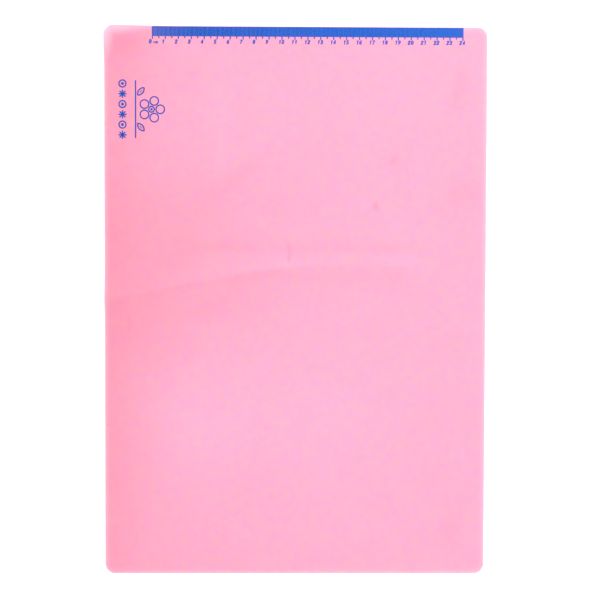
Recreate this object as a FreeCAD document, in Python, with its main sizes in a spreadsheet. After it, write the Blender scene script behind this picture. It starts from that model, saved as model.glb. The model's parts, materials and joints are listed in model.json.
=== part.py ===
import FreeCAD, Part
import math
import os

import Sketcher
from FreeCAD import Placement, Rotation, Vector

# A soft board for writing, scoring and cutting on: one moulded sheet with round corners, and the
# ink printed on its top face: a ruler along one short edge, a flower badge and a row of plain marks.
#
# Frame: X across the board, +Y towards the ruler, +Z up, origin under the middle of the sheet.
# Every island of ink is a solid of its own that stands on the top face.

# The driving sizes, in millimetres and degrees, and the three counts.
SIZES = {
    "sheet_length": 426.4,
    "sheet_thickness": 1.5,
    "corner_radius": 8.0,
    "edge_round": 0.4,
    "ink_thickness": 0.05,
    "print_clearance": 0.4,
    # The ruler. Its length and the margins at its ends make the board's width.
    "ruler_centimetres": 24,
    "zero_margin": 37.2,
    "end_margin": 19.5,
    "fine_tick_length": 7.6,
    "half_tick_length": 9.2,
    "centimetre_tick_length": 9.8,
    # What each tick leaves free of its millimetre. The print grows heavier towards the ruler's end.
    "fine_tick_gap_at_zero": 0.08,
    "fine_tick_gap_at_end": 0.03,
    "long_tick_gap": 0.05,
    # The numerals stand under the centimetre ticks and start this far left of their tick.
    "numeral_gap": 0.1,
    "numeral_lead": 2.7,
    "numeral_pen": 0.85,
    "digit_width": 2.1,
    "digit_height": 3.4,
    "digit_gap": 0.3,
    "digit_slant": 12.0,
    # The unit mark, right of the zero.
    "unit_lead": 1.0,
    "unit_pen": 0.5,
    "unit_height": 2.0,
    "unit_c_width": 1.3,
    "unit_m_width": 1.9,
    "unit_gap": 0.3,
    # The badge: a flower of ring petals above a rule line, with a leaf on each side.
    "badge_margin": 36.5,
    "badge_drop": 64.6,
    "badge_pen": 1.0,
    "petal_count": 5,
    "petal_radius": 3.8,
    "petal_clearance": 0.3,
    "flower_dot_gap": 0.75,
    "rule_gap": 1.25,
    "rule_length": 44.5,
    "leaf_gap": 0.9,
    "leaf_length": 8.4,
    "leaf_width": 4.6,
    "leaf_lean": 50.0,
    # The row of plain marks beside the badge, rings and stars by turns.
    "mark_count": 6,
    "mark_size": 6.4,
    "mark_spacing": 1.5,
    "mark_gap": 6.4,
    "mark_pen": 1.0,
    "mark_dot_gap": 1.1,
}

MILLIMETRE = 1.0
CENTIMETRE = 10.0

# Sizes and places that follow from the driving ones, as expressions for the objects to be bound to.
CENTIMETRES = "round(Sizes.ruler_centimetres)"
SHEET_WIDTH = f"(Sizes.zero_margin + {CENTIMETRE} * {CENTIMETRES} + Sizes.end_margin)"
TOP_FACE = "Sizes.sheet_thickness"
# The zero tick starts here, just inside the rounded edge.
RULER_X = f"(Sizes.zero_margin - {SHEET_WIDTH} / 2)"
RULER_Y = "(Sizes.sheet_length / 2 - Sizes.edge_round - Sizes.print_clearance)"
# The numerals and the unit mark stand on this line.
BASELINE_Y = f"({RULER_Y} - Sizes.centimetre_tick_length - Sizes.numeral_gap - Sizes.digit_height)"
# The flower's middle, and how far from it the petals' middles are if they just clear each other.
FLOWER_X = f"(Sizes.badge_margin - {SHEET_WIDTH} / 2)"
FLOWER_Y = "(Sizes.sheet_length / 2 - Sizes.badge_drop)"
PETAL_ORBIT = "(Sizes.petal_radius / sin(180 / round(Sizes.petal_count)) + Sizes.petal_clearance)"
FLOWER_RADIUS = f"({PETAL_ORBIT} + Sizes.petal_radius)"
FLOWER_RING_RADIUS = f"({PETAL_ORBIT} - Sizes.petal_radius - Sizes.petal_clearance)"
# The rule line's middle and the row of marks lie this far left of the flower's middle.
RULE_OFFSET = f"({FLOWER_RADIUS} + Sizes.rule_gap + Sizes.badge_pen / 2)"
MARK_OFFSET = f"({RULE_OFFSET} + Sizes.badge_pen / 2 + Sizes.mark_gap + Sizes.mark_size / 2)"
MARK_PITCH = "(Sizes.mark_size + Sizes.mark_spacing)"

# Each numeral or letter is drawn in a box one unit wide and one high. It is a list of runs of the
# pen, and a run is straight between two points or an arc through three.
GLYPHS = {
    "0": [
        [(0.0, 0.76), (0.5, 1.0), (1.0, 0.76)],
        [(1.0, 0.76), (1.0, 0.24)],
        [(1.0, 0.24), (0.5, 0.0), (0.0, 0.24)],
        [(0.0, 0.24), (0.0, 0.76)],
    ],
    "1": [[(0.2, 0.76), (0.62, 1.0)], [(0.62, 1.0), (0.62, 0.0)]],
    "2": [
        [(0.0, 0.76), (0.52, 1.0), (1.0, 0.72)],
        [(1.0, 0.72), (0.0, 0.0)],
        [(0.0, 0.0), (1.0, 0.0)],
    ],
    "3": [
        [(0.0, 0.85), (0.85, 0.9), (0.38, 0.53)],
        [(0.38, 0.53), (1.0, 0.26), (0.0, 0.14)],
    ],
    "4": [
        [(0.74, 0.0), (0.74, 1.0)],
        [(0.74, 1.0), (0.0, 0.3)],
        [(0.0, 0.3), (1.0, 0.3)],
    ],
    "5": [
        [(0.95, 1.0), (0.14, 1.0)],
        [(0.14, 1.0), (0.06, 0.56)],
        [(0.06, 0.56), (1.0, 0.32), (0.0, 0.1)],
    ],
    "6": [
        [(0.85, 1.0), (0.2, 0.7), (0.0, 0.3)],
        [(0.0, 0.3), (0.5, 0.58), (1.0, 0.3)],
        [(1.0, 0.3), (0.5, 0.0), (0.0, 0.3)],
    ],
    "7": [[(0.0, 1.0), (1.0, 1.0)], [(1.0, 1.0), (0.36, 0.0)]],
    "8": [
        [(0.08, 0.77), (0.5, 1.0), (0.92, 0.77)],
        [(0.92, 0.77), (0.5, 0.53), (0.08, 0.77)],
        [(0.0, 0.27), (0.5, 0.53), (1.0, 0.27)],
        [(1.0, 0.27), (0.5, 0.0), (0.0, 0.27)],
    ],
    "c": [[(1.0, 0.84), (0.0, 0.5), (1.0, 0.16)]],
    "m": [
        [(0.0, 1.0), (0.0, 0.0)],
        [(0.0, 0.68), (0.25, 1.0), (0.5, 0.68)],
        [(0.5, 0.68), (0.5, 0.0)],
        [(0.5, 0.68), (0.75, 1.0), (1.0, 0.68)],
        [(1.0, 0.68), (1.0, 0.0)],
    ],
}
# A nine is a six turned upside down.
GLYPHS["9"] = [[(1 - u, 1 - v) for u, v in run] for run in GLYPHS["6"]]

doc = FreeCAD.newDocument("ScoringBoard")


def make_size_sheet():
    """The spreadsheet of driving sizes: a name, its value, and the name again as the cell's alias."""
    table = doc.addObject("Spreadsheet::Sheet", "Sizes")
    for row, (name, number) in enumerate(SIZES.items(), start=1):
        table.set(f"A{row}", name)
        table.set(f"B{row}", str(number))
        table.setAlias(f"B{row}", name)
    doc.recompute()
    return table


sizes = make_size_sheet()


def value(expression):
    """What an expression over the spreadsheet comes to now."""
    return float(sizes.evalExpression(expression))


def size(name):
    """A driving size as the spreadsheet holds it."""
    return value(f"Sizes.{name}")


def count(name):
    """A driving size that counts whole things."""
    return round(size(name))


# ---- Helpers for the document's objects --------------------------------------------------------


def place(thing, x, y, z=TOP_FACE):
    """Binds the place of an object to the spreadsheet."""
    for axis, expression in zip("xyz", (x, y, z)):
        thing.setExpression(f"Placement.Base.{axis}", expression)
    return thing


def new_body(name):
    body = doc.addObject("PartDesign::Body", name)
    body.Label = name
    return body


def origin_feature(body, role):
    """One of the planes or axes of the body's own origin."""
    return next(f for f in body.Origin.OriginFeatures if f.Role == role)


def new_sketch(body, name):
    sketch = body.newObject("Sketcher::SketchObject", name)
    sketch.AttachmentSupport = [(origin_feature(body, "XY_Plane"), "")]
    sketch.MapMode = "FlatFace"
    return sketch


def dimension(sketch, name, constraint, expression):
    """A named dimension of the sketch, bound to the spreadsheet."""
    index = sketch.addConstraint(constraint)
    sketch.renameConstraint(index, name)
    sketch.setExpression(f"Constraints.{name}", expression)


def new_pad(body, name, sketch, expression):
    pad = body.newObject("PartDesign::Pad", name)
    pad.Profile = sketch
    pad.setExpression("Length", expression)
    sketch.Visibility = False
    doc.recompute()
    return pad


def new_feature(name, shape):
    feature = doc.addObject("Part::Feature", name)
    feature.Label = name
    feature.Shape = shape
    return feature


def new_ink_box(name, length_expression, width_expression):
    box = doc.addObject("Part::Box", name)
    box.setExpression("Length", length_expression)
    box.setExpression("Width", width_expression)
    box.setExpression("Height", "Sizes.ink_thickness")
    return box


def new_ink_disc(name, radius_expression):
    disc = doc.addObject("Part::Cylinder", name)
    disc.setExpression("Radius", radius_expression)
    disc.setExpression("Height", "Sizes.ink_thickness")
    return disc


def new_ink_ring(name, radius_expression, pen_expression):
    """A flat ring, as wide as one line of the pen."""
    ring = doc.addObject("Part::Cut", name)
    ring.Base = new_ink_disc(f"{name}_disc", radius_expression)
    ring.Tool = new_ink_disc(f"{name}_hole", f"{radius_expression} - {pen_expression}")
    return ring


# ---- The sheet ---------------------------------------------------------------------------------


def draw_rounded_rectangle(sketch, width, length, radius):
    """Four arcs joined by four tangent lines, centred on the sketch's origin.

    The arcs are geometry 0 to 3 and the lines 4 to 7, in turn from the far right corner."""
    x, y = width / 2, length / 2
    middles = [
        (x - radius, y - radius),
        (radius - x, y - radius),
        (radius - x, radius - y),
        (x - radius, radius - y),
    ]
    line_ends = [
        [(x - radius, y), (radius - x, y)],
        [(-x, y - radius), (-x, radius - y)],
        [(radius - x, -y), (x - radius, -y)],
        [(x, radius - y), (x, y - radius)],
    ]
    quarter = math.pi / 2
    for turn, middle in enumerate(middles):
        circle = Part.Circle(Vector(*middle, 0), Vector(0, 0, 1), radius)
        sketch.addGeometry(Part.ArcOfCircle(circle, turn * quarter, (turn + 1) * quarter))
    for start, stop in line_ends:
        sketch.addGeometry(Part.LineSegment(Vector(*start, 0), Vector(*stop, 0)))
    for arc in range(4):
        line, next_arc = arc + 4, (arc + 1) % 4
        sketch.addConstraint(Sketcher.Constraint("Tangent", arc, 2, line, 1))
        sketch.addConstraint(Sketcher.Constraint("Tangent", line, 2, next_arc, 1))
        direction = "Horizontal" if arc % 2 == 0 else "Vertical"
        sketch.addConstraint(Sketcher.Constraint(direction, line))
    for arc in (1, 2, 3):
        sketch.addConstraint(Sketcher.Constraint("Equal", 0, arc))
    sketch.addConstraint(Sketcher.Constraint("Symmetric", 0, 3, 2, 3, -1, 1))


def make_sheet():
    """The moulded sheet: a rounded rectangle with a small round along both faces' outlines."""
    width, length, radius = value(SHEET_WIDTH), size("sheet_length"), size("corner_radius")
    body = new_body("mat_sheet")
    sketch = new_sketch(body, "SheetOutline")
    draw_rounded_rectangle(sketch, width, length, radius)
    across = Sketcher.Constraint("DistanceX", 5, 1, 7, 1, width)
    along = Sketcher.Constraint("DistanceY", 6, 1, 4, 1, length)
    dimension(sketch, "width", across, SHEET_WIDTH)
    dimension(sketch, "length", along, "Sizes.sheet_length")
    dimension(sketch, "radius", Sketcher.Constraint("Radius", 0, radius), "Sizes.corner_radius")
    pad = new_pad(body, "SheetPad", sketch, "Sizes.sheet_thickness")
    outline_edges = [
        f"Edge{i}"
        for i, edge in enumerate(pad.Shape.Edges, start=1)
        if edge.BoundBox.ZLength < size("edge_round")
    ]
    fillet = body.newObject("PartDesign::Fillet", "SheetEdgeRound")
    fillet.Base = (pad, outline_edges)
    fillet.setExpression("Radius", "Sizes.edge_round")
    return body


# ---- The ruler's ticks -------------------------------------------------------------------------


def make_long_ticks(name, length_name, first_position, number):
    """Ticks of one length, a centimetre apart, patterned from the first one along the ruler."""
    body = place(new_body(name), f"{RULER_X} + {first_position}", RULER_Y)
    body.AllowCompound = True
    sketch = new_sketch(body, f"{name}_outline")
    width_expression = f"{MILLIMETRE} - Sizes.long_tick_gap"
    width, length = value(width_expression), size(length_name)
    left, right = -width / 2, width / 2
    corners = [(left, 0), (left, -length), (right, -length), (right, 0)]
    points = [Vector(*corner, 0) for corner in corners]
    for i in range(4):
        sketch.addGeometry(Part.LineSegment(points[i], points[(i + 1) % 4]))
    for i in range(4):
        sketch.addConstraint(Sketcher.Constraint("Coincident", i, 2, (i + 1) % 4, 1))
    for line, direction in enumerate(["Vertical", "Horizontal", "Vertical"]):
        sketch.addConstraint(Sketcher.Constraint(direction, line))
    # The top corners lie on the ruler's start line, equally far from the tick's middle.
    sketch.addConstraint(Sketcher.Constraint("Symmetric", 3, 1, 3, 2, -1, 1))
    across = Sketcher.Constraint("DistanceX", 1, 1, 1, 2, width)
    down = Sketcher.Constraint("DistanceY", 0, 2, 0, 1, length)
    dimension(sketch, "width", across, width_expression)
    dimension(sketch, "length", down, f"Sizes.{length_name}")
    pad = new_pad(body, f"{name}_pad", sketch, "Sizes.ink_thickness")
    pattern = body.newObject("PartDesign::LinearPattern", f"{name}_row")
    pattern.Originals = [pad]
    pattern.Direction = (origin_feature(body, "X_Axis"), [""])
    pattern.setExpression("Length", f"{CENTIMETRE} * ({number} - 1)")
    pattern.setExpression("Occurrences", number)
    body.Tip = pattern
    return body


def make_fine_ticks():
    """A tick at every millimetre that has no longer one, each a little wider than the last."""
    total = round(CENTIMETRE) * count("ruler_centimetres")
    gap_at_zero, gap_at_end = size("fine_tick_gap_at_zero"), size("fine_tick_gap_at_end")
    length, depth = size("fine_tick_length"), size("ink_thickness")
    ticks = []
    for position in range(total):
        if position % 5 == 0:
            continue
        gap = gap_at_zero + (gap_at_end - gap_at_zero) * position / total
        width = MILLIMETRE - gap
        corner = Vector(position * MILLIMETRE - width / 2, -length, 0)
        ticks.append(Part.makeBox(width, length, depth, corner))
    return place(new_feature("ruler_fine_ticks", Part.makeCompound(ticks)), RULER_X, RULER_Y)


# ---- Print drawn with a pen --------------------------------------------------------------------


def draw_run(points, pen):
    """The flat outline of one run, filled: a straight or curved band with round ends."""
    if len(points) == 3:
        return Part.Face(Part.Wire(Part.Arc(*points).toShape()).makeOffset2D(pen / 2))
    start, stop = points
    ahead = (stop - start).normalize() * (pen / 2)
    left = Vector(-ahead.y, ahead.x, 0)
    sides = [
        Part.makeLine(start + left, stop + left),
        Part.Arc(stop + left, stop + ahead, stop - left).toShape(),
        Part.makeLine(stop - left, start - left),
        Part.Arc(start - left, start - ahead, start + left).toShape(),
    ]
    return Part.Face(Part.Wire(sides))


def draw_ink(runs, pen):
    """Runs of one pen's width, joined where they meet and raised to the thickness of the ink."""
    bands = [draw_run(points, pen).extrude(Vector(0, 0, size("ink_thickness"))) for points in runs]
    return bands[0].fuse(bands[1:]).removeSplitter() if len(bands) > 1 else bands[0]


def lean_at_top(height, slant):
    """How far the slant carries the top of a character from its upright place, about its middle."""
    return math.tan(math.radians(slant)) * height / 2


def draw_glyph(character, left, width, height, pen, slant=0.0):
    """A numeral or letter that stands on Y = 0 and has this outer width and height."""

    def point(u, v):
        y = pen / 2 + v * (height - pen)
        x = left + pen / 2 + u * (width - pen)
        return Vector(x + lean_at_top(2 * y - height, slant), y, 0)

    return draw_ink([[point(u, v) for u, v in run] for run in GLYPHS[character]], pen)


def make_numeral(centimetre):
    """The number of one centimetre, which starts a little to the left of its tick."""
    width, height, pen = size("digit_width"), size("digit_height"), size("numeral_pen")
    pitch = width + size("digit_gap")
    digits = [
        draw_glyph(character, i * pitch, width, height, pen, size("digit_slant"))
        for i, character in enumerate(str(centimetre))
    ]
    numeral = new_feature(f"numeral_{centimetre:02d}", Part.makeCompound(digits))
    left = f"{RULER_X} + {CENTIMETRE * centimetre} - Sizes.numeral_lead"
    return place(numeral, left, BASELINE_Y)


def make_unit_mark():
    """The two letters of the unit, which follow the zero."""
    height, pen = size("unit_height"), size("unit_pen")
    c_width, m_width = size("unit_c_width"), size("unit_m_width")
    letters = [
        draw_glyph("c", 0, c_width, height, pen),
        draw_glyph("m", c_width + size("unit_gap"), m_width, height, pen),
    ]
    mark = new_feature("unit_mark", Part.makeCompound(letters))
    lean = lean_at_top(size("digit_height"), size("digit_slant"))
    zero_end = f"({RULER_X} - Sizes.numeral_lead + Sizes.digit_width + {lean})"
    return place(mark, f"{zero_end} + Sizes.unit_lead", BASELINE_Y)


# ---- The badge ---------------------------------------------------------------------------------


def make_petals():
    """Ring petals round the flower's middle, the first one pointing away from the rule line."""
    body = place(new_body("flower_petals"), FLOWER_X, FLOWER_Y)
    body.AllowCompound = True
    sketch = new_sketch(body, "PetalRing")
    inner_expression = "Sizes.petal_radius - Sizes.badge_pen"
    orbit, outer, inner = value(PETAL_ORBIT), size("petal_radius"), value(inner_expression)
    for radius in (outer, inner):
        sketch.addGeometry(Part.Circle(Vector(orbit, 0, 0), Vector(0, 0, 1), radius))
    sketch.addConstraint(Sketcher.Constraint("Coincident", 0, 3, 1, 3))
    sketch.addConstraint(Sketcher.Constraint("PointOnObject", 0, 3, -1))
    from_middle = Sketcher.Constraint("DistanceX", -1, 1, 0, 3, orbit)
    dimension(sketch, "orbit", from_middle, PETAL_ORBIT)
    dimension(sketch, "outer", Sketcher.Constraint("Radius", 0, outer), "Sizes.petal_radius")
    dimension(sketch, "inner", Sketcher.Constraint("Radius", 1, inner), inner_expression)
    pad = new_pad(body, "PetalPad", sketch, "Sizes.ink_thickness")
    pattern = body.newObject("PartDesign::PolarPattern", "PetalRound")
    pattern.Originals = [pad]
    pattern.Axis = (origin_feature(body, "Z_Axis"), [""])
    pattern.Angle = 360
    pattern.setExpression("Occurrences", "round(Sizes.petal_count)")
    body.Tip = pattern
    return body


def make_flower_ring():
    """The ring in the space that the petals leave."""
    ring = new_ink_ring("flower_ring", FLOWER_RING_RADIUS, "Sizes.badge_pen")
    return place(ring, FLOWER_X, FLOWER_Y)


def make_flower_dot():
    radius = f"{FLOWER_RING_RADIUS} - Sizes.badge_pen - Sizes.flower_dot_gap"
    return place(new_ink_disc("flower_dot", radius), FLOWER_X, FLOWER_Y)


def make_rule_line():
    """The straight line under the flower, as seen with the board turned to read the badge."""
    line = new_ink_box("rule_line", "Sizes.badge_pen", "Sizes.rule_length")
    left = f"{FLOWER_X} - {RULE_OFFSET} - Sizes.badge_pen / 2"
    return place(line, left, f"{FLOWER_Y} - Sizes.rule_length / 2")


def draw_leaf():
    """A leaf along X from the origin: an outline of two arcs, and a vein of half the pen's width."""
    pen, length, width = size("badge_pen"), size("leaf_length"), size("leaf_width")
    root, tip = Vector(pen / 2, 0, 0), Vector(length - pen / 2, 0, 0)
    near, far = Vector(length / 2, (pen - width) / 2, 0), Vector(length / 2, (width - pen) / 2, 0)
    outline = draw_ink([[root, near, tip], [tip, far, root]], pen)
    inside = root + (tip - root) / 3, tip - (tip - root) / 3
    return Part.makeCompound([outline, draw_ink([inside], pen / 2)])


def make_leaves():
    """A leaf on each side of the flower, leaning out from the rule line."""
    leaves = []
    for side in (1, -1):
        leaf = draw_leaf()
        root = Vector(size("badge_pen") / 2 + size("leaf_gap"), side * value(FLOWER_RADIUS), 0)
        leaf.Placement = Placement(root, Rotation(Vector(0, 0, 1), side * size("leaf_lean")))
        leaves.append(leaf)
    feature = new_feature("badge_leaves", Part.makeCompound(leaves))
    return place(feature, f"{FLOWER_X} - {RULE_OFFSET}", FLOWER_Y)


# ---- The row of marks --------------------------------------------------------------------------


def make_ring_mark(name):
    """A ring with a dot in it."""
    dot_radius = "Sizes.mark_size / 2 - Sizes.mark_pen - Sizes.mark_dot_gap"
    mark = doc.addObject("Part::Compound", name)
    mark.Links = [
        new_ink_ring(f"{name}_ring", "Sizes.mark_size / 2", "Sizes.mark_pen"),
        new_ink_disc(f"{name}_dot", dot_radius),
    ]
    return mark


def make_star_mark(name):
    """Four bars that cross in the middle."""
    star = doc.addObject("Part::MultiFuse", name)
    bars = []
    for turn in range(4):
        bar = new_ink_box(f"{name}_bar_{turn + 1}", "Sizes.mark_size", "Sizes.mark_pen")
        spin = Rotation(Vector(0, 0, 1), 45 * turn)
        middle = Vector(size("mark_size") / 2, size("mark_pen") / 2, 0)
        bar.Placement = Placement(-spin.multVec(middle), spin)
        bars.append(bar)
    star.Shapes = bars
    star.Refine = True
    return star


def make_marks():
    """The row of marks, level with the badge and read along the board's long edge."""
    number = count("mark_count")
    marks = []
    for i in range(number):
        make_mark = make_star_mark if i % 2 else make_ring_mark
        steps_up = (number - 1) / 2 - i
        mark = make_mark(f"row_mark_{i + 1}")
        marks.append(
            place(mark, f"{FLOWER_X} - {MARK_OFFSET}", f"{FLOWER_Y} + {steps_up} * {MARK_PITCH}")
        )
    return marks


# ---- The whole board ---------------------------------------------------------------------------


def make_board():
    half = CENTIMETRE / 2
    board = [make_sheet(), make_fine_ticks()]
    board.append(make_long_ticks("ruler_half_ticks", "half_tick_length", half, CENTIMETRES))
    every = f"({CENTIMETRES} + 1)"
    board.append(make_long_ticks("ruler_centimetre_ticks", "centimetre_tick_length", 0, every))
    board += [make_numeral(number) for number in range(count("ruler_centimetres") + 1)]
    board += [make_unit_mark(), make_petals(), make_flower_ring(), make_flower_dot()]
    board += [make_rule_line(), make_leaves()]
    return board + make_marks()


def check_document(board):
    """Stops with a message if an object failed or a sub-part's shape can't be used."""
    failed = [o.Name for o in doc.Objects if "Invalid" in o.State or "Error" in o.State]
    if failed:
        raise RuntimeError(f"these objects failed to recompute: {failed}")
    for part in board:
        if part.Shape.isNull() or not part.Shape.isValid() or not part.Shape.Solids:
            raise RuntimeError(f"{part.Label} has no valid solid")


def main():
    board = make_board()
    doc.recompute()
    check_document(board)
    os.makedirs("parts", exist_ok=True)
    for part in board:
        part.Shape.exportStep(f"parts/{part.Label}.step")
        print(f"{part.Label}: {len(part.Shape.Solids)} solids, {part.Shape.Volume:.3f} mm3")


main()
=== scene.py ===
"""A soft pink plastic board with a blue printed ruler and badge, laid on a white table.

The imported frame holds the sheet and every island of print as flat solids. The sheet here is the same
slab, lying as a soft one does: with a fold across its middle, a few dents and one corner that has
curled up. The print is laid over that surface, island by island.
"""

import json
import math
from typing import NamedTuple

import bmesh
import bpy
import numpy as np
from bpy.props import FloatProperty, FloatVectorProperty, PointerProperty
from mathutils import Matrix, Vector


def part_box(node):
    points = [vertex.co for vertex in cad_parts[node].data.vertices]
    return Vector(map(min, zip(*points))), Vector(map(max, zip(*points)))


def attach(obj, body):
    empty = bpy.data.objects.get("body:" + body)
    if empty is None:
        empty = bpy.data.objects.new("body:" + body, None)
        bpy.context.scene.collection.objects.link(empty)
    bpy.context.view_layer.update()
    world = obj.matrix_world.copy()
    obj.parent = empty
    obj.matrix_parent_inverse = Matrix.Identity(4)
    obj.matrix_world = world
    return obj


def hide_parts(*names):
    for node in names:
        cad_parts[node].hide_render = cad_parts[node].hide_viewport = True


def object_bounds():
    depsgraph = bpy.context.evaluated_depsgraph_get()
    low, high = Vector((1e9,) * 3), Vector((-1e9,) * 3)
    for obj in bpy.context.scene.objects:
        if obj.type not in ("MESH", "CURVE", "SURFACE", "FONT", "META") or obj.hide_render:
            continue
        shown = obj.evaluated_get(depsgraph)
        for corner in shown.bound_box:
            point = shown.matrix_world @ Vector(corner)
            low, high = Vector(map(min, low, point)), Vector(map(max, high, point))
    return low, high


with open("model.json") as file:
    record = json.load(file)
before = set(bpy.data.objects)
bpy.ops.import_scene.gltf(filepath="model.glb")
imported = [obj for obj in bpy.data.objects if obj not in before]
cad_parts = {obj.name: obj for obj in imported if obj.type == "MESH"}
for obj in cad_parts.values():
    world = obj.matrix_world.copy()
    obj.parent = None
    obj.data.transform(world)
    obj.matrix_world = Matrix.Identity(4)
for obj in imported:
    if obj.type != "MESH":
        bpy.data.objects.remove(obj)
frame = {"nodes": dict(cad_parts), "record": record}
CAD_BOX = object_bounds()

bl_info = {
    "name": "Soft Ruler Board",
    "version": (1, 0, 0),
    "blender": (4, 5, 0),
    "location": "View3D > Sidebar > Soft Board",
    "description": "Makes a soft plastic board with a printed ruler around its packed frame",
    "category": "Object",
}

MM = 0.001
BODY = "root"
SHEET_NODE = "mat_sheet"
LONG_TICKS = "ruler_centimetre_ticks"

# The sheet's own outline, which the frame gives as a box without its corners.
CORNER_RADIUS = 8.0 * MM
EDGE_ROUND = 0.4 * MM
# The ruler's first tick is this wide on each side of the zero.
HALF_TICK = 0.475 * MM


# ---------------------------------------------------------------- how the sheet lies

# Everything in these lists is in millimetres from the sheet's middle, and turns are in degrees.


class Fold(NamedTuple):
    """A soft crest that runs from start to end, and bows out to the left between them."""

    start: tuple
    end: tuple
    bow: float
    height: float
    reach_left: float
    reach_right: float
    from_edge: bool = False


class Ledge(NamedTuple):
    """A low rise on the left hand of a line, with its sharp foot on the line."""

    start: tuple
    end: tuple
    height: float
    climb: float
    reach: float


class Dent(NamedTuple):
    """A mark pressed into the top face only, from start to end."""

    start: tuple
    end: tuple
    depth: float
    reach: float


class Swell(NamedTuple):
    """A broad low rise of the whole sheet."""

    place: tuple
    reach: tuple
    height: float


class PaintedShade(NamedTuple):
    """A patch of painted shade (below 0) or painted light on the plastic's colour, as an oval that can be
    turned.
    """

    place: tuple
    reach: tuple
    strength: float
    turn: float = 0.0


# Left and right are the hands of someone who walks from start to end. A fold that starts at the
# sheet's edge is as high there as further in, and the others fade in.
FOLDS = (
    Fold((-148, 1.0), (8, 29.5), 1.5, 1.7, 11.0, 5.5, True),
    Fold((-60, 19.5), (105, 26.5), 5.0, 0.9, 5.5, 8.0),
    Fold((-76, 90), (-22, 121), 0.0, 0.6, 12.0, 6.0),
    Fold((-92, 160), (-52, 195), 0.0, 0.35, 7.0, 3.5),
    Fold((-49, 180), (-47, 122), 2.0, 0.12, 10.0, 7.0),
    Fold((100, 60), (146, 96), 0.0, 0.25, 9.0, 7.0),
)

# A ledge climbs from its foot over its climb and runs out over its reach, so that its top is at about
# a third of its height.
LEDGES = (
    Ledge((-100, 40.2), (112, 40.6), 2.6, 6.0, 16.0),
    Ledge((-6, 17.4), (92, 17.0), 1.2, 5.0, 12.0),
)

DENTS = (
    Dent((-5.8, 42.0), (-5.4, 33.5), 0.20, 1.0),
    Dent((74.6, 108.5), (77.0, 111.5), 0.22, 2.2),
    Dent((61.6, 73.4), (62.0, 75.8), 0.22, 1.7),
    Dent((-65.0, 85.3), (-62.5, 85.6), 0.14, 1.8),
    Dent((-129.8, -12.0), (-129.4, -23.0), 0.14, 1.3),
    Dent((125.0, 168.0), (128.0, 158.0), 0.16, 3.0),
    Dent((-148.6, -96.6), (-143.8, -97.0), 0.45, 1.0),
)

SWELLS = (
    Swell((-62, -95), (55, 62), 0.55),
    Swell((70, -110), (70, 90), 0.45),
    Swell((10, 130), (95, 48), 0.50),
    Swell((120, 20), (40, 70), 0.35),
    Swell((-120, 95), (38, 60), 0.40),
)

# Patches of painted light and shade: broad ones that paint the light's fall-off across the sheet, darker
# down the left side, narrower ones that paint shade and light along the folds, and small darker spots at
# the dents.
PAINTED_SHADES = (
    PaintedShade((-165, 0), (38, 400), -0.17),
    PaintedShade((-130, 165), (42, 50), -0.04),
    PaintedShade((150, 130), (52, 120), -0.06),
    PaintedShade((0, -190), (120, 40), 0.03),
    PaintedShade((12, -84), (62, 60), 0.07),
    PaintedShade((-116, -22), (44, 32), -0.075),
    PaintedShade((-62, -4), (40, 13), -0.05, 10),
    PaintedShade((-100, 60), (60, 40), -0.08),
    PaintedShade((-112, 22), (34, 20), -0.05),
    PaintedShade((-132, 200), (16, 12), -0.10),
    PaintedShade((-74, -98), (44, 58), 0.10),
    PaintedShade((30, -140), (60, 60), 0.03),
    PaintedShade((-50, 150), (60, 40), 0.03),
    PaintedShade((-58, 150), (10, 34), 0.025),
    PaintedShade((-40, 150), (8, 28), -0.02),
    PaintedShade((-54, 111), (22, 8), 0.015, 32),
    PaintedShade((-43, 98), (32, 5), -0.035, 38),
    PaintedShade((-79, 177), (16, 4), -0.02, 48),
    PaintedShade((126, 163), (6, 15), -0.06, -20),
    PaintedShade((128, 84), (18, 9), -0.045, 25),
    PaintedShade((122, -180), (9, 13), -0.05),
    PaintedShade((-5.7, 40.0), (1.7, 6.0), -0.08),
    PaintedShade((-5.4, 33.2), (1.3, 3.0), -0.17),
    PaintedShade((75.6, 109.9), (4.2, 3.0), -0.10, 40),
    PaintedShade((61.8, 74.6), (2.0, 2.8), -0.15),
    PaintedShade((-64.6, 86.0), (2.4, 2.0), -0.05),
    PaintedShade((-55.0, 86.8), (1.8, 1.6), -0.035),
    PaintedShade((-56.0, 43.6), (7.0, 2.5), -0.03),
    PaintedShade((-129.6, -18.0), (1.2, 8.0), -0.05, 3),
    PaintedShade((0.0, -35.0), (7.0, 1.4), -0.02),
    PaintedShade((-147.2, -96.7), (1.6, 1.2), -0.12),
)

# How rounded a fold's crest and a ledge's foot are.
CREST_SOFTNESS = 2.2 * MM
FOOT_SOFTNESS = 2.0 * MM
# The share of a fold's length over which it fades at an end.
FADE = 0.16
# How the curled corner falls off: 1 is a plain decay, and a higher power is rounder on top.
CURL_POWER = 1.5


def settings():
    """The values that the sidebar shows."""
    return bpy.context.scene.soft_board


def beside(x, y, start, end):
    """How far along the line each point lies, from 0 to 1, how far to its left, and the line's length."""
    (x0, y0), (x1, y1) = np.array(start) * MM, np.array(end) * MM
    length = math.hypot(x1 - x0, y1 - y0)
    along_x, along_y = (x1 - x0) / length, (y1 - y0) / length
    along = ((x - x0) * along_x + (y - y0) * along_y) / length
    left = (y - y0) * along_x - (x - x0) * along_y
    return along, left, length


def eased(amount):
    """0 to 1 with a soft start and a soft end."""
    amount = np.clip(amount, 0.0, 1.0)
    return amount * amount * (3.0 - 2.0 * amount)


def faded(along, from_edge=False):
    """1 along most of a line, and fading to 0 at its ends, or at its far end only."""
    starting = eased(along / FADE + (1.0 if from_edge else 0.0))
    return starting * eased((1.0 - along) / FADE)


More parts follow.
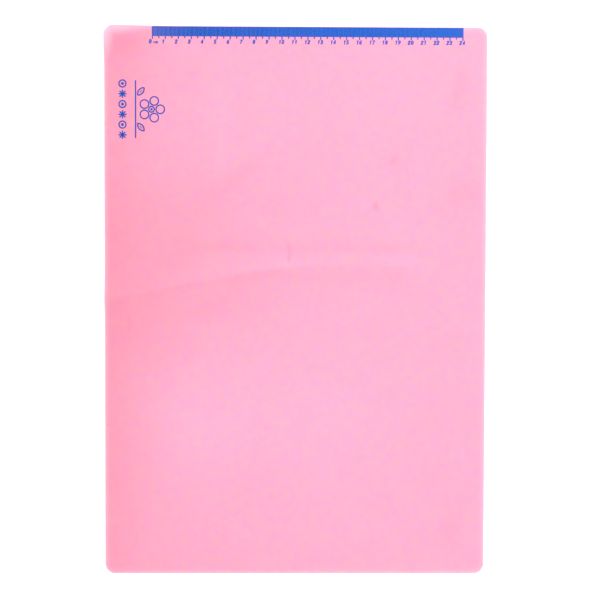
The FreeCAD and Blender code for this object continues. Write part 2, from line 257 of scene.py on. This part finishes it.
def fold_height(x, y, fold):
    """The crest's height at each point: highest on its line, and running out on both hands."""
    along, left, _length = beside(x, y, fold.start, fold.end)
    left = left - fold.bow * MM * 4.0 * along * (1.0 - along)
    reach = np.where(left > 0, fold.reach_left, fold.reach_right) * MM
    crest = np.exp(-(np.hypot(left, CREST_SOFTNESS) - CREST_SOFTNESS) / reach)
    return fold.height * MM * crest * faded(along, fold.from_edge)


def ledge_height(x, y, ledge):
    """The ledge's height at each point: steepest just left of its line, and flat on the right."""
    along, left, _length = beside(x, y, ledge.start, ledge.end)
    inward = (left + np.hypot(left, FOOT_SOFTNESS)) / 2
    rise = np.exp(-inward / (ledge.reach * MM)) - np.exp(-inward / (ledge.climb * MM))
    return ledge.height * MM * rise * faded(along)


def bell(x, y, place, reach):
    """A round or oval bell, 1 at its middle."""
    across = (x - place[0] * MM) / (reach[0] * MM)
    up = (y - place[1] * MM) / (reach[1] * MM)
    return np.exp(-(across * across + up * up))


def lie(x, y):
    """How far the sheet stands off the table at each point, in metres."""
    board = settings().sheet
    height = np.zeros_like(x)
    for fold in FOLDS:
        height += board.fold_share * fold_height(x, y, fold)
    for ledge in LEDGES:
        height += board.fold_share * ledge_height(x, y, ledge)
    for swell in SWELLS:
        height += board.swell_share * swell.height * MM * bell(x, y, swell.place, swell.reach)
    low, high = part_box(SHEET_NODE)
    from_corner = np.maximum(x - low.x, 0.0) + np.maximum(high.y - y, 0.0)
    height += board.corner_lift * np.exp(-((from_corner / board.corner_reach) ** CURL_POWER))
    return height


def pressed(x, y):
    """How far the top face is pressed in at each point, in metres."""
    depth = np.zeros_like(x)
    for dent in DENTS:
        along, left, length = beside(x, y, dent.start, dent.end)
        past = np.maximum(np.maximum(-along, along - 1.0), 0.0) * length
        spread = (left * left + past * past) / (dent.reach * MM) ** 2
        depth = np.maximum(depth, dent.depth * MM * np.exp(-spread))
    return depth


# ---------------------------------------------------------------- shader maths


class Term:
    """A node's output that takes part in sums, so that shader maths reads as Python does."""

    def __init__(self, finish, socket):
        self.finish = finish
        self.socket = socket

    def maths(self, operation, *values):
        """A Math node over these values."""
        return self.finish.node("ShaderNodeMath", {"operation": operation}, dict(enumerate(values)))

    def __add__(self, other):
        return self.maths("ADD", self, other)

    def __radd__(self, other):
        return self.maths("ADD", other, self)

    def __sub__(self, other):
        return self.maths("SUBTRACT", self, other)

    def __rsub__(self, other):
        return self.maths("SUBTRACT", other, self)

    def __mul__(self, other):
        return self.maths("MULTIPLY", self, other)

    def __rmul__(self, other):
        return self.maths("MULTIPLY", other, self)

    def __truediv__(self, other):
        return self.maths("DIVIDE", self, other)

    def __pow__(self, power):
        return self.maths("POWER", self, power)

    def __neg__(self):
        return self.maths("MULTIPLY", self, -1.0)

    def __abs__(self):
        return self.maths("ABSOLUTE", self)

    def most(self, other):
        return self.maths("MAXIMUM", self, other)

    def least(self, other):
        return self.maths("MINIMUM", self, other)

    def exponential(self):
        return self.maths("EXPONENT", self)

    def root(self):
        return self.maths("SQRT", self)

    def fraction(self):
        return self.maths("FRACT", self)

    def ramp(self, low, high):
        """0 below low, 1 above high, and a soft step between them."""
        values = {"Value": self, "From Min": low, "From Max": high}
        kind = {"interpolation_type": "SMOOTHSTEP"}
        return self.finish.node("ShaderNodeMapRange", kind, values)


class Finish:
    """A material being made: adds nodes by their type and gives their outputs as terms."""

    def __init__(self, name):
        self.material = bpy.data.materials.new(name)
        self.material.use_nodes = True
        self.tree = self.material.node_tree
        self.tree.nodes.clear()

    def node(self, kind, settings_first, values, output=0):
        """A node of this type, with its settings, then the values or links of its sockets."""
        made = self.tree.nodes.new(kind)
        for name, value in settings_first.items():
            setattr(made, name, value)
        for name, value in values.items():
            if isinstance(value, Term):
                self.tree.links.new(value.socket, made.inputs[name])
            elif made.inputs[name].type == "VECTOR":
                made.inputs[name].default_value = value[:3]
            else:
                made.inputs[name].default_value = value
        return Term(self, made.outputs[output]) if made.outputs else None

    def point(self):
        """The point on the object, in metres."""
        return self.node("ShaderNodeTexCoord", {}, {}, "Object")

    def along(self, point, axis):
        """The point's X or Y, in metres."""
        return self.node("ShaderNodeSeparateXYZ", {}, {"Vector": point}, axis)

    def noise(self, point, size, detail, roughness):
        """Even noise from 0 to 1 whose patches are about this size, in metres."""
        values = {"Vector": point, "Scale": 1.0 / size, "Detail": detail, "Roughness": roughness}
        return self.node("ShaderNodeTexNoise", {}, values)

    def blend(self, amount, first, second):
        """The first colour where amount is 0 and the second where it is 1."""
        kind = {"data_type": "RGBA", "blend_type": "MIX"}
        return self.node("ShaderNodeMix", kind, {0: amount, 6: first, 7: second}, 2)

    def scaled(self, colour, amount):
        """The colour made darker or paler by a number that varies."""
        kind = {"operation": "SCALE"}
        return self.node("ShaderNodeVectorMath", kind, {0: colour, "Scale": amount})

    def bump(self, height, distance, strength):
        """A normal for this height, whose full step is distance in metres."""
        return self.node(
            "ShaderNodeBump", {}, {"Strength": strength, "Distance": distance, "Height": height}
        )

    def close(self, values):
        """Ends the material in a Principled shader with these values, and gives the material."""
        shader = self.node("ShaderNodeBsdfPrincipled", {}, values)
        self.node("ShaderNodeOutputMaterial", {}, {"Surface": shader})
        return self.material


def opaque(colour):
    """A colour property as the four numbers that a colour socket takes."""
    return (*colour, 1.0)


# ---------------------------------------------------------------- finishes

# The size of each kind of unevenness, from the widest to the finest.
CLOUD_SIZE = 34 * MM
DULL_SIZE = 11 * MM
HUE_SIZE = 6 * MM
THIN_INK_SIZE = 5 * MM
MOTTLE_SIZE = 4.5 * MM
SKIN_SIZE = 2.6 * MM
GRAIN_SIZE = 0.55 * MM
SPECKLE_SIZE = 0.35 * MM
TABLE_SIZE = 60 * MM

# Where the noise of the hue and of the pinholes turns from one side to the other, and where the
# starved side of a tick begins and ends, in millimetres from the tick's middle.
HUE_EDGES = (0.35, 0.65)
PINHOLE_EDGES = (0.70, 0.76)
TICK_SIDE = (0.15, 0.5)

# How far each finish's roughness swings with its noise.
PLASTIC_DULL_SWING = 0.14
PLASTIC_GRAIN_SWING = 0.08
INK_THIN_SWING = 0.2
INK_SPECKLE_SWING = 0.1

# The shares of the grain and of the wider skin in the plastic's relief, and the relief's depth.
GRAIN_SHARE = 0.6
SKIN_SHARE = 0.4
PLASTIC_RELIEF = 0.05 * MM
INK_RELIEF = 0.01 * MM
# How far red, green and blue light travel in the plastic.
LIGHT_REACH = (3.2 * MM, 1.5 * MM, 1.9 * MM)
# How far in from the curled corner its painted light runs, in millimetres, and that painted light's width
# elsewhere.
CURL_LIGHT_REACH = (34.0, 26.0)
LEAST_LIGHT_WIDTH = 2 * MM


def edge_distance(x, y):
    """How far each point lies inside the sheet's outline, as a term in metres."""
    low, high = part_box(SHEET_NODE)
    straight_x = (high.x - low.x) / 2 - CORNER_RADIUS
    straight_y = (high.y - low.y) / 2 - CORNER_RADIUS
    over_x = abs(x) - straight_x
    over_y = abs(y) - straight_y
    around = (over_x.most(0.0) ** 2.0 + over_y.most(0.0) ** 2.0).root()
    return CORNER_RADIUS - around - over_x.most(over_y).least(0.0)


def bell_term(x, y, place, reach, turn=0.0):
    """The shader's own bell, 1 at its middle, turned to the left by so many degrees."""
    east, north = x - place[0] * MM, y - place[1] * MM
    if turn:
        cosine, sine = math.cos(math.radians(turn)), math.sin(math.radians(turn))
        east, north = east * cosine + north * sine, north * cosine - east * sine
    across = east / (reach[0] * MM)
    up = north / (reach[1] * MM)
    return (-(across * across + up * up)).exponential()


def painted_shade_and_mottle(finish, point, x, y):
    """The plastic's lightness against its plain colour: patches of painted light and shade, slow random
    clouds and a fine random mottle.
    """
    board = settings().sheet
    tone = 1.0
    # tone first gathers the painted light and shade of the patches; the cloud and mottle added after are
    # random unevenness of the plastic.
    for patch in PAINTED_SHADES:
        bell_here = bell_term(x, y, patch.place, patch.reach, patch.turn)
        tone = tone + patch.strength * board.painted_shade_share * bell_here
    cloud = finish.noise(point, CLOUD_SIZE, 3.0, 0.55)
    mottle = finish.noise(point, MOTTLE_SIZE, 3.0, 0.6)
    return tone + (cloud - 0.5) * board.cloud + (mottle - 0.5) * board.mottle


def painted_rim_light(x, y):
    """Painted light on the thin edge, where light shows through the plastic: a narrow rim all round, and
    a wide one at the curled corner, which is lifted off the table.
    """
    board = settings().sheet
    low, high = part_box(SHEET_NODE)
    curl = bell_term(x, y, (low.x / MM, high.y / MM), CURL_LIGHT_REACH)
    inside = edge_distance(x, y).most(0.0)
    # Painted light along the whole rim, fading inwards.
    rim = (-(inside / board.rim_light_width)).exponential() * board.rim_light_strength
    width = LEAST_LIGHT_WIDTH + curl * board.curl_light_width
    # Painted light at the curled corner.
    curled = (1.0 - (inside / width).ramp(0.0, 1.0)) * curl
    return rim.most(curled * board.curl_light_strength)


def soft_plastic():
    """Soft pink vinyl: lets light in a little way, has painted light at its rim and curled corner and
    patches of painted light and shade, and has a fine dull grain.
    """
    board = settings().sheet
    finish = Finish("soft_pink_vinyl")
    point = finish.point()
    x, y = finish.along(point, "X"), finish.along(point, "Y")

    hue = finish.noise(point, HUE_SIZE, 3.0, 0.6).ramp(*HUE_EDGES)
    pink = finish.blend(hue, opaque(board.warm_colour), opaque(board.cool_colour))
    # Painted light and shade: the patches scale the pink, along with random cloud and mottle.
    pink = finish.scaled(pink, painted_shade_and_mottle(finish, point, x, y))
    # Painted light: the thin rim and the curled corner blend towards a paler pink, as light shows through
    # them.
    colour = finish.blend(painted_rim_light(x, y), pink, opaque(board.rim_light_colour))

    grain = finish.noise(point, GRAIN_SIZE, 3.0, 0.6)
    skin = finish.noise(point, SKIN_SIZE, 2.0, 0.5)
    dull = finish.noise(point, DULL_SIZE, 3.0, 0.6)
    relief = grain * GRAIN_SHARE + skin * SKIN_SHARE
    roughness = board.roughness + (dull - 0.5) * PLASTIC_DULL_SWING + (grain - 0.5) * PLASTIC_GRAIN_SWING
    return finish.close(
        {
            "Base Color": colour,
            "Roughness": roughness,
            "Normal": finish.bump(relief, PLASTIC_RELIEF, board.grain),
            "Subsurface Weight": board.scatter,
            "Subsurface Radius": LIGHT_REACH,
            "Subsurface Scale": 1.0,
            "Specular IOR Level": board.gloss,
        }
    )


def past_zero(x):
    """How far along the ruler each point lies from the middle of the zero tick, in metres."""
    low, _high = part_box(LONG_TICKS)
    return x - low.x - HALF_TICK


def starved_ink(x, y):
    """How much the ink lacks at the sides of the ruler's first ticks, from 0 to 1."""
    ink = settings().ink
    low, _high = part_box(LONG_TICKS)
    from_zero = past_zero(x)
    side = abs((from_zero / MM + 0.5).fraction() - 0.5).ramp(*TICK_SIDE)
    starting = (-(from_zero.most(0.0) / ink.starved_length)).exponential()
    on_ticks = y.ramp(low.y - HALF_TICK, low.y)
    return starting * side * on_ticks * ink.starved


def printed_ink(name, colour):
    """Screen ink: nearly flat colour that is thin in places, with a few pinholes to the pink.

    The sides of the ruler's first ticks are starved of ink, and further along its colour is fuller."""
    ink = settings().ink
    finish = Finish(name)
    point = finish.point()
    x, y = finish.along(point, "X"), finish.along(point, "Y")
    thin = finish.noise(point, THIN_INK_SIZE, 3.0, 0.6)
    speckle = finish.noise(point, SPECKLE_SIZE, 2.0, 0.6)
    pinholes = speckle.ramp(*PINHOLE_EDGES) * ink.pinholes
    fuller = past_zero(x).ramp(ink.full_from, ink.full_at)
    blue = finish.blend(fuller, opaque(colour), opaque(ink.full_colour))
    blue = finish.scaled(blue, 1.0 + (thin - 0.5) * ink.unevenness)
    bare = pinholes.most(starved_ink(x, y))
    roughness = ink.roughness + (thin - 0.5) * INK_THIN_SWING + (speckle - 0.5) * INK_SPECKLE_SWING
    return finish.close(
        {
            "Base Color": finish.blend(bare, blue, opaque(ink.show_through)),
            "Roughness": roughness,
            "Normal": finish.bump(speckle, INK_RELIEF, 0.5),
            "Specular IOR Level": ink.gloss,
        }
    )


def white_table():
    """A smooth white table top, evenly lit from beneath as a light table is."""
    studio = settings().studio
    finish = Finish("white_table")
    soft = finish.noise(finish.point(), TABLE_SIZE, 2.0, 0.5)
    return finish.close(
        {
            "Base Color": finish.scaled(opaque(studio.table_colour), 1.0 - soft * 0.01),
            "Roughness": 0.7 + (soft - 0.5) * 0.1,
            "Specular IOR Level": 0.2,
            "Emission Color": (1.0, 1.0, 1.0, 1.0),
            "Emission Strength": studio.table_glow,
        }
    )


# ---------------------------------------------------------------- meshes

# The stretches of the sheet's width and length that hold folds and dents, for their fine cells.
FINE_ACROSS = ((-9 * MM, 1 * MM), (58 * MM, 80 * MM))
FINE_ALONG = (
    (-100 * MM, -93 * MM),
    (4 * MM, 56 * MM),
    (72 * MM, 79 * MM),
    (105 * MM, 115 * MM),
)
# Points along an axis at which the cells' size is looked up.
GRADING_SAMPLES = 4001
# Where the rounded edge's rings of points lie on its quarter circle, from the face outwards.
EDGE_TURNS = np.radians((30.0, 60.0, 90.0))
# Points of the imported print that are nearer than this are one.
WELD = 0.001 * MM
# Print edges that turn by more than this are sharp.
SHARP_TURN = math.radians(30)


def graded(low, high, step, fine_step, fine_zones):
    """Values from low to high, a step apart, or a fine step inside the zones."""
    samples = np.linspace(low, high, GRADING_SAMPLES)
    density = np.full(samples.shape, 1.0 / step)
    for zone_low, zone_high in fine_zones:
        density[(samples > zone_low) & (samples < zone_high)] = 1.0 / fine_step
    count = np.concatenate(([0.0], np.cumsum((density[1:] + density[:-1]) / 2 * np.diff(samples))))
    return np.interp(np.linspace(0.0, count[-1], math.ceil(count[-1]) + 1), count, samples)


def grid_lines(half, zones):
    """The sheet's grid lines along one axis: a border strip at each end and cells between."""
    board = settings().sheet
    core = half - CORNER_RADIUS
    inset = half - EDGE_ROUND
    border = np.linspace(core, inset, math.ceil((inset - core) / board.corner_cell) + 1)[1:]
    middle = graded(-core, core, board.cell, board.fine_cell, zones)
    return np.concatenate((-border[::-1], middle, border))


def rounded_corners(x, y, core_x, core_y):
    """Bends the square corners of a grid into round ones, cell by cell."""
    radius = CORNER_RADIUS - EDGE_ROUND
    u = np.maximum(np.abs(x) - core_x, 0.0) / radius
    v = np.maximum(np.abs(y) - core_y, 0.0) / radius
    corner = (u > 0) & (v > 0)
    big = np.maximum(u, v)
    small = np.minimum(u, v)
    turn = math.pi / 4 * small / np.where(big > 0, big, 1.0)
    turn = np.where(u >= v, turn, math.pi / 2 - turn)
    bent_x = np.sign(x) * (core_x + radius * big * np.cos(turn))
    bent_y = np.sign(y) * (core_y + radius * big * np.sin(turn))
    return np.where(corner, bent_x, x), np.where(corner, bent_y, y)


def edge_levels(thickness):
    """The edge's rings, from the top face down: how far each has turned outwards, and its height."""
    upper = [(turn, thickness - EDGE_ROUND + EDGE_ROUND * math.cos(turn)) for turn in EDGE_TURNS]
    lower = [(turn, EDGE_ROUND - EDGE_ROUND * math.cos(turn)) for turn in EDGE_TURNS[::-1]]
    return upper + lower


def quads(corners):
    """Four grids or rows of point numbers as a list of four-sided faces."""
    return np.stack(corners, axis=-1).reshape(-1, 4)


def sheet_mesh():
    """The closed slab: a top and a bottom grid, joined by a rounded edge, lying as lie() says."""
    low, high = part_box(SHEET_NODE)
    thickness = high.z - low.z
    half_x, half_y = (high.x - low.x) / 2, (high.y - low.y) / 2
    core_x, core_y = half_x - CORNER_RADIUS, half_y - CORNER_RADIUS
    flat_x, flat_y = np.meshgrid(grid_lines(half_x, FINE_ACROSS), grid_lines(half_y, FINE_ALONG))
    index = np.arange(flat_x.size).reshape(flat_x.shape)
    flat_x, flat_y = rounded_corners(flat_x.ravel(), flat_y.ravel(), core_x, core_y)

    rim = np.concatenate((index[0, :-1], index[:-1, -1], index[-1, :0:-1], index[:0:-1, 0]))
    out_x = flat_x[rim] - np.clip(flat_x[rim], -core_x, core_x)
    out_y = flat_y[rim] - np.clip(flat_y[rim], -core_y, core_y)
    out = np.hypot(out_x, out_y)

    parts_x, parts_y, parts_z = [flat_x], [flat_y], [np.full(flat_x.shape, thickness)]
    loops = [rim]
    first = flat_x.size
    for turn, z in edge_levels(thickness):
        parts_x.append(flat_x[rim] + out_x / out * EDGE_ROUND * math.sin(turn))
        parts_y.append(flat_y[rim] + out_y / out * EDGE_ROUND * math.sin(turn))
        parts_z.append(np.full(rim.shape, z))
        loops.append(np.arange(first, first + len(rim)))
        first += len(rim)
    parts_x.append(flat_x)
    parts_y.append(flat_y)
    parts_z.append(np.zeros(flat_x.shape))
    loops.append(rim + first)

    x, y, z = np.concatenate(parts_x), np.concatenate(parts_y), np.concatenate(parts_z)
    z = z + lie(x, y) - pressed(x, y) * z / thickness

    top = quads((index[:-1, :-1], index[:-1, 1:], index[1:, 1:], index[1:, :-1]))
    bottom = top[:, ::-1] + first
    edge = [
        quads((upper, lower, np.roll(lower, -1), np.roll(upper, -1)))
        for upper, lower in zip(loops, loops[1:])
    ]
    faces = np.concatenate([top, bottom, *edge])
    mesh = bpy.data.meshes.new("soft_sheet")
    mesh.from_pydata(np.stack((x, y, z), axis=-1).tolist(), [], faces.tolist())
    mesh.validate()
    mesh.shade_smooth()
    return mesh


def laid_print(node):
    """A copy of one island of print, cut into short lengths and laid over the sheet."""
    step = settings().ink.step
    shape = bmesh.new()
    shape.from_mesh(frame["nodes"][node].data)
    bmesh.ops.remove_doubles(shape, verts=shape.verts, dist=WELD)
    low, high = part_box(node)
    for axis in (0, 1):
        normal = Vector((axis == 0, axis == 1, 0))
        for count in range(math.floor(low[axis] / step) + 1, math.ceil(high[axis] / step)):
            everything = shape.verts[:] + shape.edges[:] + shape.faces[:]
            cut = normal * count * step
            bmesh.ops.bisect_plane(shape, geom=everything, plane_co=cut, plane_no=normal)
    places = np.array([vertex.co for vertex in shape.verts])
    rises = lie(places[:, 0], places[:, 1])
    for vertex, rise in zip(shape.verts, rises):
        vertex.co.z += rise
    mesh = bpy.data.meshes.new(f"print_{node}")
    shape.to_mesh(mesh)
    shape.free()
    mesh.shade_smooth()
    mesh.set_sharp_from_angle(angle=SHARP_TURN)
    return mesh


def add_piece(name, mesh, material):
    """An object with this mesh and material, in the scene."""
    piece = bpy.data.objects.new(name, mesh)
    bpy.context.scene.collection.objects.link(piece)
    mesh.materials.clear()
    mesh.materials.append(material)
    return piece


def print_nodes(slot):
    """The frame's nodes that take their finish from this slot of the record."""
    nodes = [part["node"] for part in frame["record"]["subparts"] if part["material_slot"] == slot]
    if not nodes:
        raise RuntimeError(f"the record has no node in the slot {slot}")
    return sorted(nodes)


def lay_prints(slot, material):
    """Each island of print in this slot, laid over the sheet in place of its flat solid."""
    for node in print_nodes(slot):
        piece = add_piece(f"print_{node}", laid_print(node), material)
        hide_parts(node)
        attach(piece, BODY)


# ---------------------------------------------------------------- settings


class SheetSettings(bpy.types.PropertyGroup):
    """The soft sheet's shape and plastic."""

    cell: FloatProperty(
        name="Cell", description="Size of the sheet's mesh cells", default=2.2 * MM, unit="LENGTH"
    )
    fine_cell: FloatProperty(
        name="Fine Cell", description="Cell size at the fold and the dents",
        default=0.9 * MM, unit="LENGTH",
    )
    corner_cell: FloatProperty(
        name="Corner Cell", description="Cell size along the border", default=0.8 * MM, unit="LENGTH"
    )
    fold_share: FloatProperty(
        name="Folds", description="Height of the folds against what they are",
        default=1.0, subtype="FACTOR",
    )
    swell_share: FloatProperty(
        name="Swells", description="Height of the broad rises", default=1.0, subtype="FACTOR"
    )
    corner_lift: FloatProperty(
        name="Corner Lift", description="How far the curled corner rises", default=3.0 * MM, unit="LENGTH"
    )
    corner_reach: FloatProperty(
        name="Corner Reach", description="How far in the curl runs", default=22 * MM, unit="LENGTH"
    )
    warm_colour: FloatVectorProperty(
        name="Warm Pink", description="The plastic's warmer tone", subtype="COLOR",
        default=(0.86, 0.352, 0.458),
    )
    cool_colour: FloatVectorProperty(
        name="Cool Pink", description="The plastic's cooler tone", subtype="COLOR",
        default=(0.86, 0.335, 0.489),
    )
    # Painted light: the paler pink of the rim, where light shows through the thin edge, and how wide and
    # strong it is.
    rim_light_colour: FloatVectorProperty(
        name="Rim", description="The paler tone of the thin edge", subtype="COLOR",
        default=(0.95, 0.56, 0.67),
    )
    rim_light_width: FloatProperty(
        name="Rim Width", description="How fast the pale rim fades", default=1.4 * MM, unit="LENGTH"
    )
    rim_light_strength: FloatProperty(
        name="Rim Strength", description="How pale the edge is", default=0.8, subtype="FACTOR"
    )
    # Painted light at the curled corner, where light gets under the lifted plastic.
    curl_light_width: FloatProperty(
        name="Curl Rim Width", description="Width of the pale rim at the curled corner",
        default=9.5 * MM, unit="LENGTH",
    )
    curl_light_strength: FloatProperty(
        name="Curl Rim Strength", description="Paleness of the curled corner",
        default=0.80, subtype="FACTOR",
    )
    # Strength of the patches of painted light and shade.
    painted_shade_share: FloatProperty(
        name="PaintedShade", description="Strength of the darker and paler patches", default=1.0, subtype="FACTOR"
    )
    cloud: FloatProperty(
        name="Cloud", description="Slow unevenness of the tone",
        default=0.05, subtype="FACTOR",
    )
    mottle: FloatProperty(
        name="Mottle", description="Fine unevenness of the tone",
        default=0.075, subtype="FACTOR",
    )
    roughness: FloatProperty(
        name="Roughness", description="Dullness of the skin",
        default=0.5, subtype="FACTOR",
    )
    gloss: FloatProperty(
        name="Gloss", description="Strength of its reflections",
        default=0.125, subtype="FACTOR",
    )
    grain: FloatProperty(
        name="Grain", description="Strength of the fine grain",
        default=0.5, subtype="FACTOR",
    )
    scatter: FloatProperty(
        name="Scatter", description="Share of the light that passes through the plastic", default=0.6,
        subtype="FACTOR",
    )


class InkSettings(bpy.types.PropertyGroup):
    """The print."""

    step: FloatProperty(
        name="Step", description="Length of print between cuts", default=3 * MM, unit="LENGTH"
    )
    ruler_colour: FloatVectorProperty(
        name="Ruler Blue", description="Ink of the ruler", subtype="COLOR", default=(0.001, 0.086, 0.425)
    )
    badge_colour: FloatVectorProperty(
        name="Badge Blue", description="Ink of the badge", subtype="COLOR", default=(0.008, 0.074, 0.400)
    )
    show_through: FloatVectorProperty(
        name="Show Through", description="What a pinhole shows", subtype="COLOR",
        default=(0.80, 0.33, 0.50),
    )
    full_colour: FloatVectorProperty(
        name="Full Blue", description="Ink past the ruler's start", subtype="COLOR",
        default=(0.006, 0.092, 0.460),
    )
    full_from: FloatProperty(
        name="Full From", description="Distance from the zero at which the ink starts to fill out",
        default=30 * MM, unit="LENGTH",
    )
    full_at: FloatProperty(
        name="Full At", description="Distance from the zero at which it is full",
        default=110 * MM, unit="LENGTH",
    )
    starved: FloatProperty(
        name="Starved", description="How bare the sides of the first ticks are",
        default=0.25, subtype="FACTOR",
    )
    starved_length: FloatProperty(
        name="Starved Length", description="How fast the ink fills out", default=14 * MM, unit="LENGTH"
    )
    pinholes: FloatProperty(
        name="Pinholes", description="How open they are",
        default=0.15, subtype="FACTOR",
    )
    unevenness: FloatProperty(
        name="Unevenness", description="How much the ink's depth varies", default=0.25, subtype="FACTOR"
    )
    roughness: FloatProperty(
        name="Roughness", description="Dullness of the ink",
        default=0.45, subtype="FACTOR",
    )
    gloss: FloatProperty(
        name="Gloss", description="Strength of its reflections",
        default=0.12, subtype="FACTOR",
    )


class StudioSettings(bpy.types.PropertyGroup):
    """The table, the lights and the camera."""

    key_power: FloatProperty(name="Key", description="Power of the softbox", default=55.5, unit="POWER")
    key_place: FloatVectorProperty(
        name="Key Place", description="Where the softbox hangs", subtype="TRANSLATION",
        default=(1.2, 0.85, 1.5),
    )
    key_aim: FloatVectorProperty(
        name="Key Aim", description="What the softbox points at", subtype="TRANSLATION",
        default=(0.0, -1.0, 0.0),
    )
    key_size: FloatProperty(
        name="Key Size", description="Side of the softbox",
        default=0.9, unit="LENGTH",
    )
    sky: FloatProperty(name="Sky", description="Strength of the even white light", default=0.62)
    table_colour: FloatVectorProperty(
        name="Table", description="Colour of the table", subtype="COLOR", default=(0.93, 0.93, 0.93)
    )
    table_glow: FloatProperty(name="Table Glow", description="Light of the table's own", default=0.55)
    table_side: FloatProperty(
        name="Table Side", description="Side of the table",
        default=8.0, unit="LENGTH",
    )
    table_gap: FloatProperty(
        name="Table Gap", description="Gap between the sheet's lowest point and the table",
        default=0.1 * MM, unit="LENGTH",
    )
    lens: FloatProperty(name="Lens", description="Focal length in millimetres", default=50.0)
    camera_place: FloatVectorProperty(
        name="Camera Place", description="Where the camera is", subtype="TRANSLATION",
        default=(-0.00200, 0.01712, 0.65010),
    )
    camera_turn: FloatVectorProperty(
        name="Camera Turn", description="How the camera leans", subtype="EULER",
        default=(math.radians(-1.383), math.radians(-0.468), math.radians(0.172)),
    )


class BoardSettings(bpy.types.PropertyGroup):
    """Everything that the sidebar shows."""

    sheet: PointerProperty(type=SheetSettings)
    ink: PointerProperty(type=InkSettings)
    studio: PointerProperty(type=StudioSettings)


# ---------------------------------------------------------------- operators


class BOARD_OT_set_stage(bpy.types.Operator):
    """Lay the white table, hang the lights and set the camera over the board"""

    bl_idname = "board.set_stage"
    bl_label = "Set Stage"

    def execute(self, context):
        studio = settings().studio
        side = studio.table_side / 2
        corners = [(-side, -side, 0), (side, -side, 0), (side, side, 0), (-side, side, 0)]
        mesh = bpy.data.meshes.new("table_top")
        mesh.from_pydata(corners, [], [(0, 1, 2, 3)])
        table = add_piece("table_top", mesh, white_table())
        table.location.z = CAD_BOX[0].z - studio.table_gap

        lamp = bpy.data.lights.new("softbox", "AREA")
        lamp.energy = studio.key_power
        lamp.size = studio.key_size
        box = bpy.data.objects.new("softbox", lamp)
        context.scene.collection.objects.link(box)
        box.location = studio.key_place
        box.rotation_mode = "QUATERNION"
        box.rotation_quaternion = (Vector(studio.key_aim) - box.location).to_track_quat("-Z", "Y")
        box.visible_camera = False

        world = bpy.data.worlds.new("white_room")
        world.use_nodes = True
        world.node_tree.nodes["Background"].inputs["Color"].default_value = (1.0, 1.0, 1.0, 1.0)
        world.node_tree.nodes["Background"].inputs["Strength"].default_value = studio.sky
        context.scene.world = world
        context.scene.view_settings.view_transform = "Standard"

        view = bpy.data.cameras.new("view")
        view.lens = studio.lens
        camera = bpy.data.objects.new("view", view)
        context.scene.collection.objects.link(camera)
        camera.location = studio.camera_place
        camera.rotation_euler = studio.camera_turn
        context.scene.camera = camera
        return {"FINISHED"}


class BOARD_OT_make_sheet(bpy.types.Operator):
    """Make the soft pink sheet, folded across its middle and curled at one corner"""

    bl_idname = "board.make_sheet"
    bl_label = "Make Sheet"

    def execute(self, context):
        sheet = add_piece("soft_sheet", sheet_mesh(), soft_plastic())
        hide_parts(SHEET_NODE)
        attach(sheet, BODY)
        return {"FINISHED"}


class BOARD_OT_print_ruler(bpy.types.Operator):
    """Lay the ruler's ticks, numerals and unit mark over the sheet"""

    bl_idname = "board.print_ruler"
    bl_label = "Print Ruler"

    def execute(self, context):
        lay_prints("ruler_ink", printed_ink("ruler_blue", settings().ink.ruler_colour))
        return {"FINISHED"}


class BOARD_OT_print_badge(bpy.types.Operator):
    """Lay the flower badge, its line and leaves and the row of marks over the sheet"""

    bl_idname = "board.print_badge"
    bl_label = "Print Badge"

    def execute(self, context):
        lay_prints("badge_ink", printed_ink("badge_blue", settings().ink.badge_colour))
        return {"FINISHED"}


class BOARD_PT_sidebar(bpy.types.Panel):
    """The board's settings and steps, in the 3D view's sidebar"""

    bl_idname = "BOARD_PT_sidebar"
    bl_label = "Soft Ruler Board"
    bl_space_type = "VIEW_3D"
    bl_region_type = "UI"
    bl_category = "Soft Board"

    def draw(self, context):
        board = settings()
        for title, group in (("Sheet", board.sheet), ("Print", board.ink), ("Studio", board.studio)):
            column = self.layout.column(align=True)
            column.label(text=title)
            for name in group.__annotations__:
                column.prop(group, name)
        for step in STEPS:
            self.layout.operator(step.bl_idname)


STEPS = (BOARD_OT_set_stage, BOARD_OT_make_sheet, BOARD_OT_print_ruler, BOARD_OT_print_badge)
CLASSES = (SheetSettings, InkSettings, StudioSettings, BoardSettings, *STEPS, BOARD_PT_sidebar)


def register():
    for each in CLASSES:
        bpy.utils.register_class(each)
    bpy.types.Scene.soft_board = PointerProperty(type=BoardSettings)


def unregister():
    del bpy.types.Scene.soft_board
    for each in reversed(CLASSES):
        bpy.utils.unregister_class(each)


def main():
    register()
    bpy.ops.board.set_stage()
    bpy.ops.board.make_sheet()
    bpy.ops.board.print_ruler()
    bpy.ops.board.print_badge()


if __name__ == "__main__":
    main()
